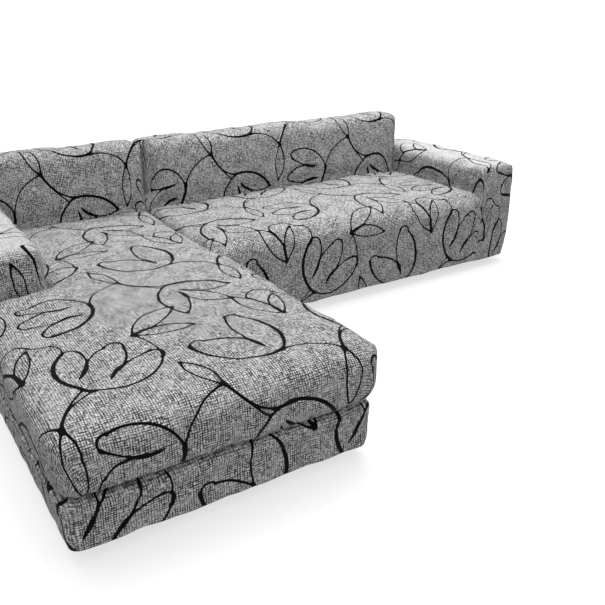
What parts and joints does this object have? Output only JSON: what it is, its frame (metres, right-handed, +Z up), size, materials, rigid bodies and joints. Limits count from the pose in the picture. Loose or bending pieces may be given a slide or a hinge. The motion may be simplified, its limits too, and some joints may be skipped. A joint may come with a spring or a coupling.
{
  "type": "sofa slipcover",
  "caption": "Fitted stretch slipcover set for an L-shaped sofa: a chaise cover with left arm and a straight seat cover with right arm, grey linen look with black outline tulips.",
  "frame": {"origin": "under the cloth of the straight seat, at the middle of the set's nominal width and halfway between the seat's front and the back's front face, where the seat carries the cover", "axes": "+X to the right seen from the front, along the back; +Y towards the back; +Z up"},
  "size_m": [2.892, 2.111, 0.7188],
  "materials": {
    "chaise_seat": "matt woven stretch cloth, grey linen look with black outline tulips",
    "chaise_band": "matt woven stretch cloth, grey linen look with black outline tulips",
    "chaise_arm": "matt woven stretch cloth, grey linen look with black outline tulips",
    "chaise_back": "matt woven stretch cloth, grey linen look with black outline tulips",
    "sofa_seat": "matt woven stretch cloth, grey linen look with black outline tulips",
    "sofa_back": "matt woven stretch cloth, grey linen look with black outline tulips",
    "sofa_arm": "matt woven stretch cloth, grey linen look with black outline tulips"
  },
  "bodies": {
    "root": {"chaise_seat": "chaise_seat", "chaise_band": "chaise_band", "chaise_arm": "chaise_arm", "chaise_back": "chaise_back", "sofa_seat": "sofa_seat", "sofa_back": "sofa_back", "sofa_arm": "sofa_arm"}
  },
  "joints": []
}
